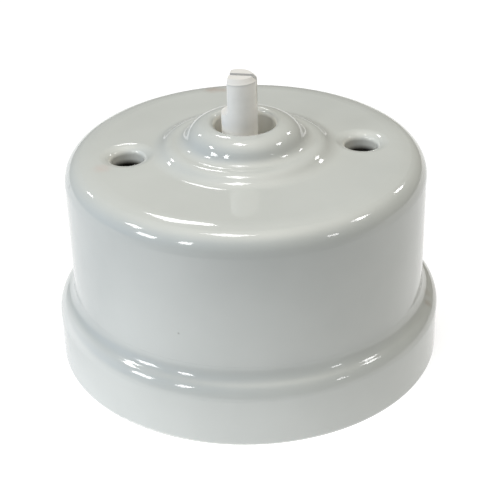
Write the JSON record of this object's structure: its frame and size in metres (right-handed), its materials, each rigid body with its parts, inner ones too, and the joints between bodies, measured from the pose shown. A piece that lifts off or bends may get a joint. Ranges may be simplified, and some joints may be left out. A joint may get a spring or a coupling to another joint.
{
  "type": "porcelain rotary switch",
  "caption": "Round surface-mounted light switch with a glazed porcelain cover, a bare split spindle and a snap-action rotary contact inside.",
  "frame": {"origin": "middle of the cover's rim on the wall plane", "axes": "+Z out of the wall along the spindle, X through the two cover-screw holes, Y up or down the wall"},
  "size_m": [0.066, 0.066, 0.0501],
  "materials": {
    "glazed_porcelain": "glossy glaze",
    "bare_porcelain": "unglazed, fine grain",
    "brass": "turned and pressed, dull",
    "spring_brass": "rolled strip",
    "plated_steel": "zinc plated",
    "spring_steel": "blued strip",
    "white_plastic": "moulded, matt",
    "dark_plastic": "phenolic moulding",
    "contact_silver": "silver-faced"
  },
  "bodies": {
    "housing": {"porcelain_cover": "glazed_porcelain", "porcelain_base": "bare_porcelain", "cover_inserts": "brass", "bearing_bridge": "plated_steel", "bearing_bush": "brass", "bridge_screws": "plated_steel", "bridge_nuts": "plated_steel", "thrust_washer": "plated_steel", "detent_spring_left": "spring_steel", "detent_spring_right": "spring_steel", "terminal_block_line": "brass", "terminal_block_load": "brass", "terminal_screws": "plated_steel", "terminal_fixing_screws": "plated_steel", "contact_blade_line": "spring_brass", "contact_blade_load": "spring_brass", "contact_buttons": "contact_silver"},
    "turning_works": {"spindle": "white_plastic", "detent_cam": "white_plastic", "rotor": "dark_plastic", "contact_bridge": "brass", "contact_rivets": "brass"}
  },
  "joints": [
    {"name": "spindle_turn", "type": "hinge", "parent": "housing", "child": "turning_works", "pos_m": [-0.0008, 0, 0.03], "axis": [0, 0, 1], "continuous": true, "deforming": ["detent_spring_left", "detent_spring_right"]}
  ]
}
